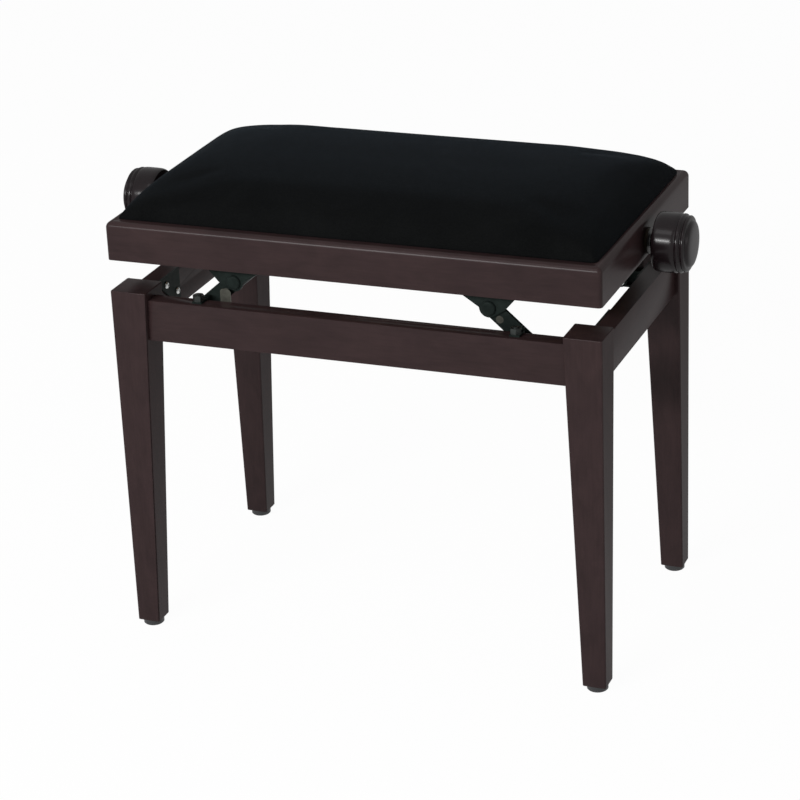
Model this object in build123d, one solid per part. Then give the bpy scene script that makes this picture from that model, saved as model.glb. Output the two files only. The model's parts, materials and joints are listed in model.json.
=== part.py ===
"""Height-adjustable piano bench with a padded seat and a screw-driven lift.

Millimetres, +X right along the seat, front towards -Y, +Z up, floor at z = 0,
origin in the middle of the footprint. Every piece is written to parts/NODE.step.
"""
from math import asin, cos, radians, sin
import os

from build123d import *

# ---- seat frame ----
LENGTH, DEPTH = 550.0, 325.0          # outline shared by the seat frame and the legs
SEAT_LIFT, SEAT_H = 35.3, 42.5        # seat frame above the legs' tops at rest, height of the frame
SEAT_RAIL_T = 20.0
SEAT_EDGE_R, SEAT_CORNER_R = 6.5, 4.5     # top outer edges, upright corners
BOARD_T = 12.0
CUSHION_INSET_END, CUSHION_INSET_SIDE = 13.5, 15.0   # from the frame's outer faces
CUSHION_GAP = 0.3                     # clear of the board below
# (height above the frame's top, part of the half length and of the half depth
# taken in at the ends and at the sides, corner radius)
CUSHION_SECTIONS = [(CUSHION_GAP, 0.0, 0.0, 4.0), (6.0, 0.0057, 0.0061, 6.0), (12.0, 0.0149, 0.0224, 13.0),
                    (18.0, 0.0287, 0.0522, 26.0), (24.0, 0.0516, 0.1037, 45.0), (28.0, 0.0769, 0.1607, 64.0),
                    (32.0, 0.1193, 0.2563, 84.0), (35.2, 0.1832, 0.400, 82.0), (37.6, 0.2857, 0.6305, 50.0),
                    (38.6, 0.3767, 0.8203, 24.0)]
CORNER_LIMIT = 0.92                   # a section's corner radius stays under this part of its half depth

# ---- base frame ----
LEG_TOP = 402.7
LEG_TOP_W, LEG_FOOT_W = 42.0, 26.0
LEG_EDGE = 1.2
GLIDE_R, GLIDE_H, GLIDE_EDGE = 11.5, 7.0, 1.0
RAIL_DROP, RAIL_H, RAIL_T = 9.4, 45.4, 20.0      # rails' tops below the legs' tops
RAIL_INSET = 5.5                      # rails set back from the legs' outer faces

# ---- knobs and spindle ----
AXIS_RISE = 16.5                      # above the seat frame's lower edge
SPINDLE_R = 6.0
RUN_CLEAR = 0.05                      # radial clearance of every running shaft
BUSH_R, BUSH_FLANGE_R, BUSH_FLANGE_T = 10.0, 14.0, 3.0
COLLAR_R, COLLAR_W, COLLAR_GAP, COLLAR_EDGE = 10.0, 8.0, 0.5, 0.6
KNOB_GAP, KNOB_BORE_DEPTH = 0.5, 30.0
# (distance from the knob's inner end, radius)
KNOB_PROFILE = [(0.0, 12.0), (6.5, 12.0), (7.5, 29.5), (8.5, 30.6), (9.3, 29.4), (10.3, 30.2),
                (12.0, 31.4), (15.5, 32.0), (27.5, 32.0), (29.5, 31.4), (30.3, 30.3), (31.1, 30.3),
                (31.9, 31.2), (34.0, 31.6), (36.1, 31.0), (37.1, 29.4), (38.1, 29.4), (38.9, 30.2),
                (40.7, 30.4), (42.1, 29.6), (42.8, 28.0), (43.1, 22.4), (45.1, 21.8), (46.3, 20.0),
                (46.9, 15.0), (47.2, 8.0)]

# ---- sheet metal and screws ----
SHEET, FLANGE_T = 2.5, 2.0            # ears, guide channels and end plates
SCREW_R, SCREW_HEAD_R, SCREW_HEAD_H, SCREW_LEN = 2.0, 4.0, 2.4, 14.0
SCREW_HEAD_EDGE = 0.9

# ---- pivot ears under the seat ----
PIVOT_DROP, PIVOT_R = 24.5, 4.0       # below the seat frame's lower edge
PIVOT_HEAD_R, PIVOT_HEAD_H, PIVOT_HEAD_EDGE = 8.0, 3.0, 2.6
PIVOT_TAIL_R, PIVOT_TAIL_H = 6.5, 2.0
EAR_REACH = 15.0                      # ear's inner face from the seat rail's inner face
NOSE_R = 10.5
EAR_HALF_W, EAR_RISE = 29.0, 12.0     # full width from this far above the pivot
EAR_NOSE, EAR_SHOULDER = (7.4, -7.7), (17.6, -1.1)    # from the pivot, on the ear's outer side
EAR_BACK_H = 25.0
EAR_GAP = 0.3                         # between the ear and what turns beside it
EAR_SCREW_DX, EAR_SCREW_DOWN = 20.0, 12.5      # from the pivot's line, below the board

# ---- lift frames: a flat bell crank front and rear on each side, joined by a tube ----
ARM_LENGTH = 85.0
ARM_DROP = 55.8                       # height of the pivot above the roller at rest
ARM_LOW, ARM_HIGH = 8.8, 9.8          # edges below and above the line of its pivots
ARM_T = 4.0
ARM_CLEAR = 4.4                       # from the level arm's roller to the leg
ARM_NECK, ARM_END_R = 12.0, 7.0       # narrows over this length to its rounded end
LEVER_W, LEVER_TIP_R = 16.0, 7.6
SLOT_GAP, SLOT_BELOW, SLOT_ABOVE = 0.8, 0.2, 4.4      # beside the traverse's pin and along the lever
RIVET_R, RIVET_S, RIVET_P = 4.2, 16.5, -2.5      # place along and across the line of the pivots
TUBE_GAP, TUBE_WALL = 0.7, 2.3        # round the tail of the pivot's pin
ROLLER_R, ROLLER_W, ROLLER_GAP, ROLLER_EDGE = 5.5, 4.0, 1.0, 0.5
ROLLER_PIN_R, ROLLER_HEAD_R, ROLLER_HEAD_H = 2.5, 4.5, 2.0

# ---- traverses: a crossbar on a threaded bush, pins in the levers' slots ----
BAR_T, BAR_H, BAR_GAP = 10.0, 25.0, 8.2      # gap between the bar's ends and the levers
NUT_R, NUT_L, NUT_FLANGE_R, NUT_FLANGE_T = 9.0, 24.0, 12.0, 5.0
PIN_R, PIN_SEAT, PIN_SHORT, PIN_EDGE = 3.0, 21.5, 0.2, 0.6

# ---- guide channels on the long rails' inner faces ----
TRACK_OUT = 23.7                      # channel's inner end from the pivots
TRACK_GAP = 0.8                       # flanges' open edges from the arm
TRACK_LEG_GAP = 0.3                   # channel's outer end from the leg
TRACK_LOW = 0.7                       # room under the roller at rest
TRACK_HIGH = 4.0                      # room above the roller at rest
TRACK_SCREW_IN = (11.0, 17.5)         # from the channel's inner end, below the rail's top
TRACK_SCREW_OUT = (6.7, 34.0)         # from the leg's top, below the rail's top
TAB_AT = 11.0                         # tab's middle from the channel's inner end
STUD_R, STUD_OUT, STUD_DEPTH = 3.0, 1.0, 11.0    # radius, out of the nut, into the rail
STUD_SHIFT = 1.0                      # from the middle of the rail, inwards
NUT_AF, NUT_H, NUT_EDGE = 11.0, 6.5, 0.6
NUT_TURN = 12.0

# ---- plates on the end rails' inner faces ----
# (distance from the long rail's inner face, below the end rail's top)
PLATE = [(86.0, 0.0), (37.5, 0.0), (37.5, 7.3), (81.5, 43.3), (86.0, 43.3)]
PLATE_CORNER_R = 5.0
PLATE_SCREWS = [(53.2, 10.0), (78.8, 25.5)]

# ---- stop lugs on the long rails' inner faces ----
LUG_PLACES = [(-1, -1), (1, 1)]       # signs of x and y
LUG_SHIFT = 7.4                       # middle from the pivots, outwards
LUG_W, LUG_T = 12.0, 1.0
LUG_RISE, LUG_DROP = 14.5, 20.0       # above and below the rail's top
LUG_SCREWS = [3.3, 14.0]              # below the rail's top


def leg_width(z):
    """Width of the tapered legs at this height."""
    return LEG_FOOT_W + (LEG_TOP_W - LEG_FOOT_W) * (z - LEG_Z0) / (LEG_TOP - LEG_Z0)


# ---- derived places ----
ARM_ANGLE = asin(ARM_DROP / ARM_LENGTH)
LEG_Z0 = GLIDE_H
RAIL_TOP = LEG_TOP - RAIL_DROP
SEAT_BOTTOM = LEG_TOP + SEAT_LIFT
SEAT_TOP = SEAT_BOTTOM + SEAT_H
AXIS_Z = SEAT_BOTTOM + AXIS_RISE
PIVOT_Z = SEAT_BOTTOM - PIVOT_DROP
WALL_X = LENGTH / 2 - RAIL_INSET - RAIL_T     # inner face of the base's end rails
WALL_Y = DEPTH / 2 - RAIL_INSET - RAIL_T      # inner face of the base's long rails
SEAT_X = LENGTH / 2 - SEAT_RAIL_T             # inner faces of the seat rails
SEAT_Y = DEPTH / 2 - SEAT_RAIL_T
BOARD_Z = SEAT_TOP - BOARD_T
LEG_X = LENGTH / 2 - LEG_TOP_W                # inner faces of the legs' tops
PIVOT_X = LEG_X - ARM_CLEAR - ARM_LENGTH
EAR_Y0 = SEAT_Y - EAR_REACH
ARM_Y1 = EAR_Y0 - EAR_GAP
ARM_Y0 = ARM_Y1 - ARM_T
SLOT_R0 = AXIS_Z - PIVOT_Z - SLOT_BELOW
SLOT_R1 = AXIS_Z - PIVOT_Z + SLOT_ABOVE
SLOT_W = 2 * (PIN_R + SLOT_GAP)
TUBE_BORE_R = PIVOT_TAIL_R + TUBE_GAP
ROLLER_Y0 = ARM_Y1 + ROLLER_GAP
ROLLER_Y1 = ROLLER_Y0 + ROLLER_W
BAR_Y = ARM_Y0 - BAR_GAP
TRACK_X0 = PIVOT_X + TRACK_OUT
TRACK_Y0 = ARM_Y1 + TRACK_GAP
TRACK_FLOOR = PIVOT_Z - ARM_DROP - ROLLER_R - TRACK_LOW
TRACK_CEIL = PIVOT_Z - ARM_DROP + ROLLER_R + TRACK_HIGH
TRACK_X1 = LENGTH / 2 - leg_width(TRACK_CEIL + FLANGE_T) - TRACK_LEG_GAP
TRACK_SCREWS = [(TRACK_X0 + TRACK_SCREW_IN[0], TRACK_SCREW_IN[1]), (LEG_X - TRACK_SCREW_OUT[0], TRACK_SCREW_OUT[1])]
TAB_X = TRACK_X0 + TAB_AT
STUD_Y = WALL_Y + RAIL_T / 2 - STUD_SHIFT
STUD_TOP = RAIL_TOP + FLANGE_T + NUT_H + STUD_OUT
SIDES = {"left": -1, "right": 1}
ENDS = {"front": -1, "rear": 1}


# ---- helpers ----
def block(x0, x1, y0, y1, z0, z1):
    """Box between two opposite corners, given in any order."""
    size = (abs(x1 - x0), abs(y1 - y0), abs(z1 - z0))
    return Pos((x0 + x1) / 2, (y0 + y1) / 2, (z0 + z1) / 2) * Box(*size)


def rod(axis, at, r, a, b):
    """Cylinder along an axis through the point at, from a to b on that axis."""
    low, mid = min(a, b), (a + b) / 2
    x, y, z = at
    turn = {"x": Rot(0, 90, 0), "y": Rot(90, 0, 0), "z": Rot(0, 0, 0)}[axis]
    place = {"x": Pos(mid, y, z), "y": Pos(x, mid, z), "z": Pos(x, y, mid)}[axis]
    return place * turn * Cylinder(r, 2 * (mid - low))


def mirrored(solid, sx, sy):
    """A copy in the quarter of the bench with these signs of x and y."""
    if sx < 0:
        solid = mirror(solid, Plane.YZ)
    if sy < 0:
        solid = mirror(solid, Plane.XZ)
    return solid


def plate_xz(points, y0, y1):
    """Straight-edged plate: outline in x and z, thickness from y0 to y1."""
    face = make_face(Polyline(*[(x, 0, z) for x, z in points], close=True))
    return extrude(Pos(0, y1, 0) * face, amount=y1 - y0, dir=(0, -1, 0))


def along(angle, at, s, p):
    """Point s along a line falling to +X at this angle from at, p to its upper side."""
    x, z = at
    return x + s * cos(angle) + p * sin(angle), z - s * sin(angle) + p * cos(angle)


def save(name, *solids):
    """Write one node; several solids go into it side by side."""
    solids = [s for item in solids for s in item.solids()]
    shape = solids[0] if len(solids) == 1 else Compound(children=solids)
    export_step(shape, f"parts/{name}.step")


def screw(axis, at, head, way):
    """Pan-head screw whose head sits on the plane head and whose shank points way."""
    shank = rod(axis, at, SCREW_R, head, head + way * SCREW_LEN)
    cap = rod(axis, at, SCREW_HEAD_R, head - way * SCREW_HEAD_H, head)
    rim = cap.edges().filter_by(GeomType.CIRCLE).sort_by(lambda e: way * getattr(e.center(), axis.upper()))[0]
    return fillet(rim, SCREW_HEAD_EDGE) + shank


# ---- base ----
def leg():
    """Leg in the +X +Y corner, tapered on its two inner faces."""
    def square(width, z):
        x1, y1 = LENGTH / 2, DEPTH / 2
        return Polyline((x1, y1, z), (x1 - width, y1, z), (x1 - width, y1 - width, z), (x1, y1 - width, z),
                        close=True)
    post = Solid.make_loft([square(LEG_FOOT_W, LEG_Z0).wire(), square(LEG_TOP_W, LEG_TOP).wire()], ruled=True)
    upright = [e for e in post.edges() if e.length > LEG_TOP / 2]
    return chamfer(upright, LEG_EDGE)


def track():
    """Guide channel on the long rail's inner face, with a tab that lies over the rail."""
    y0, y1 = TRACK_Y0, WALL_Y
    web = block(TRACK_X0, TRACK_X1, y1 - FLANGE_T, y1, TRACK_FLOOR - FLANGE_T, TRACK_CEIL + FLANGE_T)
    low = block(TRACK_X0, TRACK_X1, y0, y1, TRACK_FLOOR - FLANGE_T, TRACK_FLOOR)
    high = block(TRACK_X0, TRACK_X1, y0, y1, TRACK_CEIL, TRACK_CEIL + FLANGE_T)
    x0, x1 = TAB_X - NUT_AF / 2, TAB_X + NUT_AF / 2
    rise = block(x0, x1, y1 - FLANGE_T, y1, TRACK_CEIL, RAIL_TOP + FLANGE_T)
    over = block(x0, x1, y1 - FLANGE_T, STUD_Y + NUT_AF / 2, RAIL_TOP, RAIL_TOP + FLANGE_T)
    return web + low + high + rise + over


def end_plate():
    """Plate on the right end rail's inner face, cut away below towards the leg."""
    face = make_face(Polyline(*[(WALL_X, WALL_Y - y, RAIL_TOP - z) for y, z in PLATE], close=True))
    plate = extrude(face, FLANGE_T, dir=(-1, 0, 0))
    outer = plate.edges().filter_by(Axis.X).group_by(Axis.Y)[-1]
    return fillet(outer.sort_by(Axis.Z)[0], PLATE_CORNER_R)


def lug():
    """Stop lug standing up behind the long rail, and its screws."""
    x = PIVOT_X + LUG_SHIFT
    y0, y1 = WALL_Y - LUG_T, WALL_Y
    plate = block(x - LUG_W / 2, x + LUG_W / 2, y0, y1, RAIL_TOP - LUG_DROP, RAIL_TOP + LUG_RISE)
    plate = fillet(plate.edges().filter_by(Axis.Y).group_by(Axis.Z)[-1], LUG_W / 3)
    fixings = [screw("y", (x, 0, RAIL_TOP - drop), y0, 1) for drop in LUG_SCREWS]
    for tool in fixings:
        plate = plate - tool
    return plate, fixings


def hex_nut():
    """Hexagon nut on the tab, with its two rims turned down."""
    z0 = RAIL_TOP + FLANGE_T
    hexagon = RegularPolygon(NUT_AF / 2, 6, major_radius=False, rotation=NUT_TURN)
    body = Pos(TAB_X, STUD_Y, z0) * extrude(hexagon, NUT_H)
    turned = rod("z", (TAB_X, STUD_Y, 0), NUT_AF / (2 * cos(radians(30))), z0, z0 + NUT_H)
    turned = chamfer(turned.edges().filter_by(GeomType.CIRCLE), NUT_EDGE)
    return (body & turned) - rod("z", (TAB_X, STUD_Y, 0), STUD_R, z0, z0 + NUT_H)


def build_base():
    stud = rod("z", (TAB_X, STUD_Y, 0), STUD_R, RAIL_TOP - STUD_DEPTH, STUD_TOP)
    face_x, face_y = WALL_X - FLANGE_T, WALL_Y - FLANGE_T
    track_screws = [screw("y", (x, 0, RAIL_TOP - z), face_y, 1) for x, z in TRACK_SCREWS]
    plate_screws = [screw("x", (0, WALL_Y - y, RAIL_TOP - z), face_x, 1) for y, z in PLATE_SCREWS]
    channel, plate, nut, post = track() - stud, end_plate(), hex_nut(), leg()
    for tool in track_screws:
        channel = channel - tool
    for tool in plate_screws:
        plate = plate - tool
    foot = ((LENGTH - LEG_FOOT_W) / 2, (DEPTH - LEG_FOOT_W) / 2, 0)
    glide = rod("z", foot, GLIDE_R, 0, GLIDE_H)
    glide = chamfer(glide.edges().sort_by(Axis.Z)[0], GLIDE_EDGE)
    corners = [(end, side, sx, sy) for end, sy in ENDS.items() for side, sx in SIDES.items()]
    legs = [mirrored(post, sx, sy) for _, _, sx, sy in corners]
    for corner, (end, side, sx, sy) in zip(legs, corners):
        save(f"leg_{end}_{side}", corner)
        save(f"track_{end}_{side}", mirrored(channel, sx, sy))
        save(f"end_plate_{end}_{side}", mirrored(plate, sx, sy))
    sets = {"glides": [glide], "track_studs": [stud], "track_nuts": [nut], "track_screws": track_screws,
            "end_plate_screws": plate_screws}
    sets = {name: [mirrored(solid, sx, sy) for solid in solids for _, _, sx, sy in corners]
            for name, solids in sets.items()}
    stop, fixings = lug()
    sets["stop_lugs"] = [mirrored(stop, sx, sy) for sx, sy in LUG_PLACES]
    sets["stop_lug_screws"] = [mirrored(tool, sx, sy) for tool in fixings for sx, sy in LUG_PLACES]
    for name, solids in sets.items():
        save(name, *solids)
    reach_x, reach_y = LENGTH / 2 - LEG_FOOT_W, DEPTH / 2 - LEG_FOOT_W
    z0 = RAIL_TOP - RAIL_H
    rails = {}
    for end, sy in ENDS.items():
        rails[end] = block(-reach_x, reach_x, sy * WALL_Y, sy * (WALL_Y + RAIL_T), z0, RAIL_TOP)
    for side, sx in SIDES.items():
        rails[side] = block(sx * WALL_X, sx * (WALL_X + RAIL_T), -reach_y, reach_y, z0, RAIL_TOP)
    tools = legs + [tool for name in ("track_studs", "track_screws", "end_plate_screws", "stop_lug_screws")
                    for tool in sets[name]]
    for name, rail in rails.items():
        for tool in tools:
            rail = rail - tool
        save(f"base_rail_{name}", rail)


# ---- seat ----
def seat_rail(half, across):
    """Mitred frame member on the +Y side of a frame with these half sizes."""
    inner = across - SEAT_RAIL_T
    corners = [(-half, across), (half, across), (half - SEAT_RAIL_T, inner), (SEAT_RAIL_T - half, inner)]
    face = make_face(Polyline(*[(x, y, SEAT_BOTTOM) for x, y in corners], close=True))
    return extrude(face, SEAT_TOP - SEAT_BOTTOM, dir=(0, 0, 1))


def rounding():
    """Envelope of the seat frame with its top outer edges rounded."""
    shell = block(-LENGTH / 2, LENGTH / 2, -DEPTH / 2, DEPTH / 2, SEAT_BOTTOM, SEAT_TOP)
    shell = fillet(shell.edges().filter_by(Axis.Z), SEAT_CORNER_R)
    return fillet(shell.faces().sort_by(Axis.Z)[-1].edges(), SEAT_EDGE_R)


def cushion():
    """Low pillow: stacked rounded rectangles joined by ruled faces."""
    half_x, half_y = LENGTH / 2 - CUSHION_INSET_END, DEPTH / 2 - CUSHION_INSET_SIDE
    wires = []
    for z, ends, sides, r in CUSHION_SECTIONS:
        x, y = half_x * (1 - ends), half_y * (1 - sides)
        sketch = RectangleRounded(2 * x, 2 * y, min(r, CORNER_LIMIT * y))
        wires.append((Pos(0, 0, SEAT_TOP + z) * sketch).wire())
    return Solid.make_loft(wires, ruled=True)


def ear():
    """Pivot bracket under the seat: hanging ear, top flange, flange on the long rail."""
    x0, x1 = PIVOT_X - EAR_HALF_W, PIVOT_X + EAR_HALF_W
    y0, y1 = EAR_Y0, EAR_Y0 + SHEET
    wide = PIVOT_Z + EAR_RISE
    lower = [(PIVOT_X + dx, PIVOT_Z + dz) for dx, dz in ((-NOSE_R, 0), EAR_NOSE, EAR_SHOULDER)]
    skirt = plate_xz(lower + [(x1, wide), (x1, BOARD_Z), (x0, BOARD_Z), (x0, wide)], y0, y1)
    nose = rod("y", (PIVOT_X, 0, PIVOT_Z), NOSE_R, y0, y1)
    shelf = block(x0, x1, y0, SEAT_Y, BOARD_Z - SHEET, BOARD_Z)
    back = block(x0, x1, SEAT_Y - SHEET, SEAT_Y, BOARD_Z - EAR_BACK_H, BOARD_Z)
    return skirt + nose + shelf + back


def pivot_pin():
    """Riveted pin through the ear and the arm's hub."""
    at, face = (PIVOT_X, 0, PIVOT_Z), EAR_Y0 + SHEET
    head = rod("y", at, PIVOT_HEAD_R, face, face + PIVOT_HEAD_H)
    head = fillet(head.edges().sort_by(Axis.Y)[-1], PIVOT_HEAD_EDGE)
    end = ARM_Y0 - EAR_GAP
    return head + rod("y", at, PIVOT_R, end, face) + rod("y", at, PIVOT_TAIL_R, end - PIVOT_TAIL_H, end)


def spindle_bush():
    """Flanged bush in the right end rail."""
    at = (0, 0, AXIS_Z)
    x0, x1 = SEAT_X, LENGTH / 2
    body = rod("x", at, BUSH_R, x0, x1) + rod("x", at, BUSH_FLANGE_R, x1, x1 + BUSH_FLANGE_T)
    return body - rod("x", at, SPINDLE_R + RUN_CLEAR, x0, x1 + BUSH_FLANGE_T)


def build_seat():
    shell = rounding()
    bush = spindle_bush()
    bushes = {side: mirrored(bush, sx, 1) for side, sx in SIDES.items()}
    bracket, pin = ear(), pivot_pin()
    bracket = bracket - pin
    screws = [screw("y", (PIVOT_X + dx, 0, BOARD_Z - EAR_SCREW_DOWN), SEAT_Y - SHEET, 1)
              for dx in (-EAR_SCREW_DX, EAR_SCREW_DX)]
    for tool in screws:
        bracket = bracket - tool
    all_screws, pins = [], []
    for end, sy in ENDS.items():
        for side, sx in SIDES.items():
            save(f"pivot_ear_{end}_{side}", mirrored(bracket, sx, sy))
            all_screws += [mirrored(tool, sx, sy) for tool in screws]
            pins.append(mirrored(pin, sx, sy))
    save("ear_screws", *all_screws)
    save("pivot_pins", *pins)
    long_rail = seat_rail(LENGTH / 2, DEPTH / 2)
    short_rail = Rot(0, 0, -90) * seat_rail(DEPTH / 2, LENGTH / 2)
    rails = {"front": mirrored(long_rail, 1, -1), "rear": long_rail,
             "right": short_rail, "left": mirrored(short_rail, -1, 1)}
    bores = [rod("x", (0, 0, AXIS_Z), BUSH_R, sx * SEAT_X, sx * LENGTH / 2) for sx in SIDES.values()]
    for name, rail in rails.items():
        rail = rail & shell
        for tool in all_screws + bores:
            rail = rail - tool
        save(f"seat_rail_{name}", rail)
    save("seat_board", block(-SEAT_X, SEAT_X, -SEAT_Y, SEAT_Y, BOARD_Z, SEAT_TOP))
    save("cushion", cushion())
    for side, piece in bushes.items():
        save(f"spindle_bush_{side}", piece)


# ---- lift frames ----
def arm():
    """Rear-right bell crank: flat arm and slotted lever, bored for the shafts in it."""
    at = (PIVOT_X, PIVOT_Z)

    def disc(s, p, r):
        x, z = along(ARM_ANGLE, at, s, p)
        return rod("y", (x, 0, z), r, ARM_Y0, ARM_Y1)
    neck = ARM_LENGTH - ARM_NECK
    outline = [(0, -ARM_LOW), (neck, -ARM_LOW), (ARM_LENGTH, -ARM_END_R), (ARM_LENGTH, ARM_END_R),
               (neck, ARM_HIGH), (0, ARM_HIGH)]
    body = plate_xz([along(ARM_ANGLE, at, s, p) for s, p in outline], ARM_Y0, ARM_Y1)
    body = body + disc(ARM_LENGTH, 0, ARM_END_R) + disc(0, 0, ARM_HIGH)
    x0, x1 = PIVOT_X - LEVER_W / 2, PIVOT_X + LEVER_W / 2
    body = body + block(x0, x1, ARM_Y0, ARM_Y1, PIVOT_Z, PIVOT_Z + SLOT_R1)
    body = body + rod("y", (PIVOT_X, 0, PIVOT_Z + SLOT_R1), LEVER_TIP_R, ARM_Y0, ARM_Y1)
    x0, x1 = PIVOT_X - SLOT_W / 2, PIVOT_X + SLOT_W / 2
    body = body - block(x0, x1, ARM_Y0, ARM_Y1, PIVOT_Z + SLOT_R0, PIVOT_Z + SLOT_R1)
    for r in (SLOT_R0, SLOT_R1):
        body = body - rod("y", (PIVOT_X, 0, PIVOT_Z + r), SLOT_W / 2, ARM_Y0, ARM_Y1)
    body = body - disc(0, 0, PIVOT_R + RUN_CLEAR) - disc(ARM_LENGTH, 0, ROLLER_PIN_R)
    return body - disc(RIVET_S, RIVET_P, RIVET_R)


def build_lift_frames():
    crank = arm()
    x, z = along(ARM_ANGLE, (PIVOT_X, PIVOT_Z), ARM_LENGTH, 0)
    at = (x, 0, z)
    pin = rod("y", at, ROLLER_PIN_R, ARM_Y0, ROLLER_Y1)
    pin = pin + rod("y", at, ROLLER_HEAD_R, ARM_Y0 - ROLLER_HEAD_H, ARM_Y0)
    roller = rod("y", at, ROLLER_R, ROLLER_Y0, ROLLER_Y1)
    roller = chamfer(roller.edges().filter_by(GeomType.CIRCLE), ROLLER_EDGE) - pin
    x, z = along(ARM_ANGLE, (PIVOT_X, PIVOT_Z), RIVET_S, RIVET_P)
    rivet = rod("y", (x, 0, z), RIVET_R, ARM_Y0, ARM_Y1)
    hub = (PIVOT_X, 0, PIVOT_Z)
    tube = rod("y", hub, TUBE_BORE_R + TUBE_WALL, -ARM_Y0, ARM_Y0)
    tube = tube - rod("y", hub, TUBE_BORE_R, -ARM_Y0, ARM_Y0)
    for side, sx in SIDES.items():
        for end, sy in ENDS.items():
            save(f"lift_arm_{end}_{side}", mirrored(crank, sx, sy))
        save(f"lift_tube_{side}", mirrored(tube, sx, 1))
        for name, solid in {"roller_pins": pin, "rollers": roller, "arm_rivets": rivet}.items():
            save(f"{name}_{side}", *[mirrored(solid, sx, sy) for sy in ENDS.values()])


# ---- traverses, spindle and knobs ----
def crossbar():
    """Right-hand traverse: bar, threaded bush and the two pins, as separate solids."""
    at = (0, 0, AXIS_Z)
    nut = rod("x", at, NUT_R, PIVOT_X - NUT_L / 2, PIVOT_X + NUT_L / 2)
    nut = nut + rod("x", at, NUT_FLANGE_R, PIVOT_X + BAR_T / 2, PIVOT_X + BAR_T / 2 + NUT_FLANGE_T)
    low, high = AXIS_Z - BAR_H / 2, AXIS_Z + BAR_H / 2
    bar = block(PIVOT_X - BAR_T / 2, PIVOT_X + BAR_T / 2, -BAR_Y, BAR_Y, low, high)
    pin = rod("y", (PIVOT_X, 0, AXIS_Z), PIN_R, BAR_Y - PIN_SEAT, ARM_Y1 - PIN_SHORT)
    pin = chamfer(pin.edges().sort_by(Axis.Y)[-1], PIN_EDGE)
    pins = [pin, mirrored(pin, 1, -1)]
    bar = bar - rod("x", at, NUT_R, PIVOT_X - BAR_T / 2, PIVOT_X + BAR_T / 2) - pins[0] - pins[1]
    return bar, nut - rod("x", at, SPINDLE_R + RUN_CLEAR, PIVOT_X - NUT_L / 2, PIVOT_X + NUT_L / 2), pins


def knob():
    """Right-hand knob, turned to the profile and bored for the spindle's end."""
    x0 = LENGTH / 2 + BUSH_FLANGE_T + KNOB_GAP
    profile = [(x0 + x, AXIS_Z + r) for x, r in KNOB_PROFILE]
    axis = [(profile[-1][0], AXIS_Z), (x0, AXIS_Z)]
    outline = Polyline(*[(x, 0, z) for x, z in profile + axis], close=True)
    body = revolve(make_face(outline), Axis((0, 0, AXIS_Z), (1, 0, 0)))
    return body - rod("x", (0, 0, AXIS_Z), SPINDLE_R, x0, x0 + KNOB_BORE_DEPTH)


def build_drive():
    at = (0, 0, AXIS_Z)
    bar, nut, pins = crossbar()
    handle = knob()
    tip = LENGTH / 2 + BUSH_FLANGE_T + KNOB_GAP + KNOB_BORE_DEPTH
    end = SEAT_X - COLLAR_GAP
    collar = rod("x", at, COLLAR_R, end - COLLAR_W, end)
    collar = chamfer(collar.edges().filter_by(GeomType.CIRCLE), COLLAR_EDGE)
    collar = collar - rod("x", at, SPINDLE_R, end - COLLAR_W, end)
    save("spindle", rod("x", at, SPINDLE_R, -tip, tip))
    save("spindle_collars", *[mirrored(collar, sx, 1) for sx in SIDES.values()])
    for side, sx in SIDES.items():
        save(f"knob_{side}", mirrored(handle, sx, 1))
        save(f"traverse_bar_{side}", mirrored(bar, sx, 1))
        save(f"traverse_nut_{side}", mirrored(nut, sx, 1))
        save(f"traverse_pins_{side}", *[mirrored(p, sx, 1) for p in pins])


os.makedirs("parts", exist_ok=True)
build_base()
build_seat()
build_lift_frames()
build_drive()
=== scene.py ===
"""Looks of the adjustable piano bench: finishes, velvet cushion, turned knobs, screws, studio."""
import json
import math

import bmesh
import bpy
from bpy.props import FloatProperty, FloatVectorProperty, IntProperty, PointerProperty
from mathutils import Matrix, Vector


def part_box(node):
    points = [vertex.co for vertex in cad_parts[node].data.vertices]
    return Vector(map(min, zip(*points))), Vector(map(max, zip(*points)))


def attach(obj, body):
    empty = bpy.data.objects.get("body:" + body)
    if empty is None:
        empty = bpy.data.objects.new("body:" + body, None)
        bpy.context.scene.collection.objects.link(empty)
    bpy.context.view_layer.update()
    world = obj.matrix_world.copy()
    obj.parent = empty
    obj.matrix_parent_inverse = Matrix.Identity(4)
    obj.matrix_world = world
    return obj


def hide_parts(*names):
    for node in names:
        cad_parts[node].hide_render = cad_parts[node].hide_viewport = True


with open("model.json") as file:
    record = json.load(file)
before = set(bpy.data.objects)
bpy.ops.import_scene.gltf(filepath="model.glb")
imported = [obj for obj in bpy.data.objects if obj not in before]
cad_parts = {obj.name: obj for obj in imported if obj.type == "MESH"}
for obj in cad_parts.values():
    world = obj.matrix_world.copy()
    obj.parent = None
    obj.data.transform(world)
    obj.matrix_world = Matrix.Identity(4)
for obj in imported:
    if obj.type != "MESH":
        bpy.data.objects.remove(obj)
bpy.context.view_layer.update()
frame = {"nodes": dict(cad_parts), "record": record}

bl_info = {
    "name": "Piano bench looks",
    "version": (1, 0, 0),
    "blender": (4, 5, 0),
    "location": "3D View > Sidebar > Bench",
    "description": "Dresses the adjustable piano bench with wood, velvet, steel and a studio",
    "category": "Object",
}

MM = 0.001
MERGE = 1e-6            # points closer than this are one
NOISE_LOW, NOISE_HIGH = 0.3, 0.7    # the span in which a noise's values mostly lie

SPINDLE_LOW, SPINDLE_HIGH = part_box("spindle")
SPINDLE_Z = (SPINDLE_LOW[2] + SPINDLE_HIGH[2]) / 2
KNOB_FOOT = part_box("knob_right")[0][0]

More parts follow.
